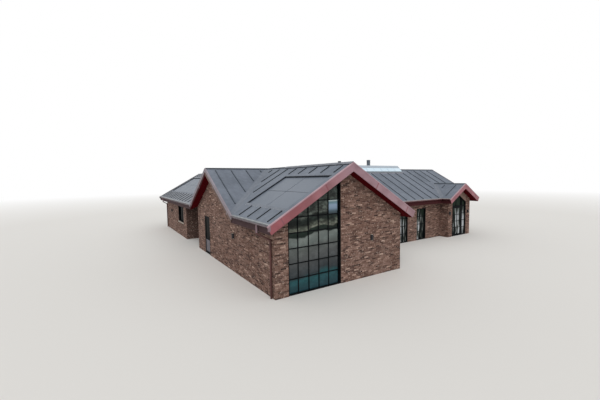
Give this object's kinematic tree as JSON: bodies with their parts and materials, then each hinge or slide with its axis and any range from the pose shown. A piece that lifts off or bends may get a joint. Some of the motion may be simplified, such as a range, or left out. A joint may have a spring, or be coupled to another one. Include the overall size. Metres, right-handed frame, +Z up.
{
  "type": "beach house",
  "caption": "Single-storey brick beach house of crossing gabled wings under grey batten-seam roofs, with tall black-framed gable glazing and hinged outside doors.",
  "frame": {"origin": "centre of the house's outline at ground level", "axes": "+X along the main wing towards the bay's end, +Y from the front gable to the rear gable, +Z up"},
  "size_m": [20.312, 23.61, 5.78],
  "materials": {
    "brick": "red-brown facing brick with light flecks",
    "floor": "pale tiled floor",
    "roof_covering": "grey roofing felt over battens",
    "red_boards": "dusty red coated boards",
    "soffit": "dark red painted boards",
    "zinc": "matt grey zinc",
    "red_metal": "dark red coated steel",
    "solar": "satin dark grey panels",
    "dark_metal": "matt black coated steel",
    "black_steel": "matt black coated frames",
    "glass": "insulating glass",
    "sill": "light cast sill"
  },
  "bodies": {
    "house": {"front_gable_wall": "brick", "front_east_wall": "brick", "west_wall": "brick", "main_front_walls": "brick", "lintels": "brick", "bay_walls": "brick", "bay_gable_band": "brick", "east_gable_wall": "brick", "back_wall": "brick", "rear_west_wall": "brick", "rear_gable_wall": "brick", "rear_east_wall": "brick", "porch_south_wall": "brick", "porch_back_wall": "brick", "porch_north_wall": "brick", "ground_floor": "floor", "main_roof": "roof_covering", "front_roof": "roof_covering", "rear_roof": "roof_covering", "bay_roof": "roof_covering", "batten_seams": "roof_covering", "ridge_caps": "roof_covering", "vent_ridge": "roof_covering", "front_verge_boards": "red_boards", "west_verge_boards": "red_boards", "bay_verge_boards": "red_boards", "hidden_verge_boards": "red_boards", "eaves_boards": "red_boards", "soffit_boards": "soffit", "zinc_gutters": "zinc", "lantern_frame": "zinc", "red_gutters": "red_metal", "downpipes": "red_metal", "front_solar_panels": "solar", "rear_solar_panels": "solar", "chimney": "dark_metal", "roof_vent": "dark_metal", "wall_lamps": "dark_metal", "front_window_frame": "black_steel", "window_frames": "black_steel", "bay_window_frame": "black_steel", "west_door_frame": "black_steel", "front_window_glass": "glass", "window_glass": "glass", "lantern_glass": "glass", "window_sills": "sill"},
    "west_door": {"west_door_leaf": "black_steel", "west_door_glass": "glass"},
    "bay_door": {"bay_door_leaf": "black_steel", "bay_door_glass": "glass"}
  },
  "joints": [
    {"name": "west_door_hinge", "type": "hinge", "parent": "house", "child": "west_door", "pos_m": [-9.6423, -2.414, 1.1], "axis": [0, 0, -1], "range_deg": [0, 90]},
    {"name": "bay_door_hinge", "type": "hinge", "parent": "house", "child": "bay_door", "pos_m": [6.635, -8.3333, 1.05], "axis": [0, 0, -1], "range_deg": [0, 90]}
  ]
}
